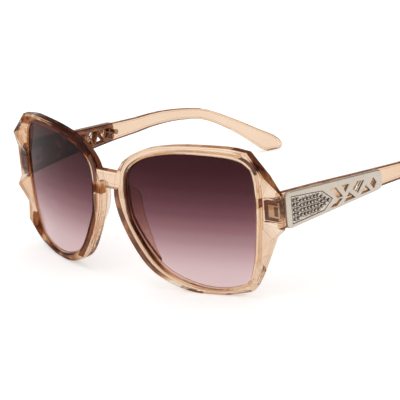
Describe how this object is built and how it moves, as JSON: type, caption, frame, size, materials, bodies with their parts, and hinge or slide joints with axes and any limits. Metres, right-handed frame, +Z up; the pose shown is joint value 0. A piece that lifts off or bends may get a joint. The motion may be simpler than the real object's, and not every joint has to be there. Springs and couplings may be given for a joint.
{
  "type": "sunglasses",
  "caption": "Large square sunglasses with a faceted, flared front, gradient lenses and broad folding temples that carry openwork metal plaques backed by crystal panels.",
  "frame": {"origin": "centre of the bounding box in X and Y, on the table plane that the rims and the temple tips rest on, temples open", "axes": "+Z up, +Y from the front towards the temple tips, X across the face with +X to the wearer's left"},
  "size_m": [0.1444, 0.1608, 0.0557],
  "materials": {
    "frame_plastic": "polished translucent champagne acetate",
    "gradient_lens": "polished, dark plum at the top fading to pale rose at the bottom",
    "plaque_metal": "polished champagne-silver plating",
    "hinge_metal": "satin",
    "crystal": "close-set faceted stones on a thin backing"
  },
  "bodies": {
    "front": {"front_frame": "frame_plastic", "lens_left": "gradient_lens", "lens_right": "gradient_lens", "hinge_front_leaf_left": "hinge_metal", "hinge_front_leaf_right": "hinge_metal", "hinge_screw_left": "hinge_metal", "hinge_screw_right": "hinge_metal"},
    "temple_left": {"temple_arm_left": "frame_plastic", "temple_plaque_left": "plaque_metal", "crystal_panel_left": "crystal", "hinge_temple_leaf_left": "hinge_metal", "plaque_pin_front_left": "plaque_metal", "plaque_pin_rear_left": "plaque_metal"},
    "temple_right": {"temple_arm_right": "frame_plastic", "temple_plaque_right": "plaque_metal", "crystal_panel_right": "crystal", "hinge_temple_leaf_right": "hinge_metal", "plaque_pin_front_right": "plaque_metal", "plaque_pin_rear_right": "plaque_metal"}
  },
  "joints": [
    {"name": "temple_left_fold", "type": "hinge", "parent": "front", "child": "temple_left", "pos_m": [0.0642, -0.0588, 0.03295], "axis": [0, 0, 1], "range_deg": [0, 90]},
    {"name": "temple_right_fold", "type": "hinge", "parent": "front", "child": "temple_right", "pos_m": [-0.0642, -0.0588, 0.03295], "axis": [0, 0, -1], "range_deg": [0, 76]}
  ]
}
